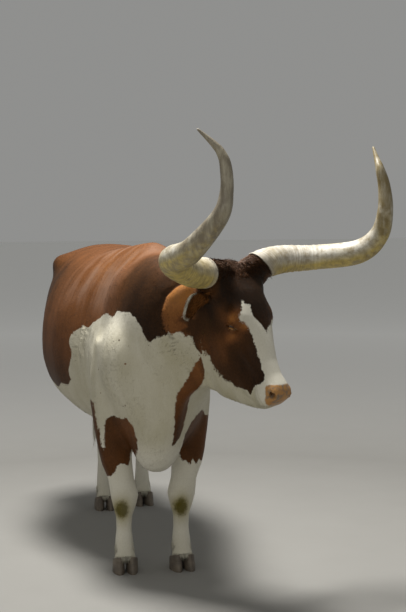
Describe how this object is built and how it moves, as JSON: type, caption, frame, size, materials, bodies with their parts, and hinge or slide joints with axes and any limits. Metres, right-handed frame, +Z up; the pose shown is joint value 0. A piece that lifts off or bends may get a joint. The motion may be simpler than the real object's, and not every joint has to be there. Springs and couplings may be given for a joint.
{
  "type": "longhorn steer",
  "caption": "Life-size Texas longhorn steer standing on four cloven hooves, neck and head turned to its left, with long horns that sweep out and then up.",
  "frame": {"origin": "On the ground, under the centre of the whole animal's bounding box.", "axes": "+Z up; the steer's trunk faces -Y; its own left is +X."},
  "size_m": [1.3826, 2.6906, 1.9386],
  "materials": {
    "torso": "short glossy hair over hide",
    "neck": "short glossy hair over hide",
    "head": "short hair over hide",
    "ear_left": "thin haired skin",
    "ear_right": "thin haired skin",
    "eye_left": "wet and dark",
    "eye_right": "wet and dark",
    "horn_left": "smooth ringed horn",
    "horn_right": "smooth ringed horn",
    "fore_left_leg": "short hair over hide",
    "fore_right_leg": "short hair over hide",
    "hind_left_leg": "short hair over hide",
    "hind_right_leg": "short hair over hide",
    "fore_left_claw_left": "dull horn",
    "fore_left_claw_right": "dull horn",
    "fore_right_claw_left": "dull horn",
    "fore_right_claw_right": "dull horn",
    "hind_left_claw_left": "dull horn",
    "hind_left_claw_right": "dull horn",
    "hind_right_claw_left": "dull horn",
    "hind_right_claw_right": "dull horn",
    "tail": "short hair over hide",
    "tail_switch": "long coarse hair"
  },
  "bodies": {
    "root": {"torso": "torso", "neck": "neck", "head": "head", "ear_left": "ear_left", "ear_right": "ear_right", "eye_left": "eye_left", "eye_right": "eye_right", "horn_left": "horn_left", "horn_right": "horn_right", "fore_left_leg": "fore_left_leg", "fore_right_leg": "fore_right_leg", "hind_left_leg": "hind_left_leg", "hind_right_leg": "hind_right_leg", "fore_left_claw_left": "fore_left_claw_left", "fore_left_claw_right": "fore_left_claw_right", "fore_right_claw_left": "fore_right_claw_left", "fore_right_claw_right": "fore_right_claw_right", "hind_left_claw_left": "hind_left_claw_left", "hind_left_claw_right": "hind_left_claw_right", "hind_right_claw_left": "hind_right_claw_left", "hind_right_claw_right": "hind_right_claw_right", "tail": "tail", "tail_switch": "tail_switch"}
  },
  "joints": []
}
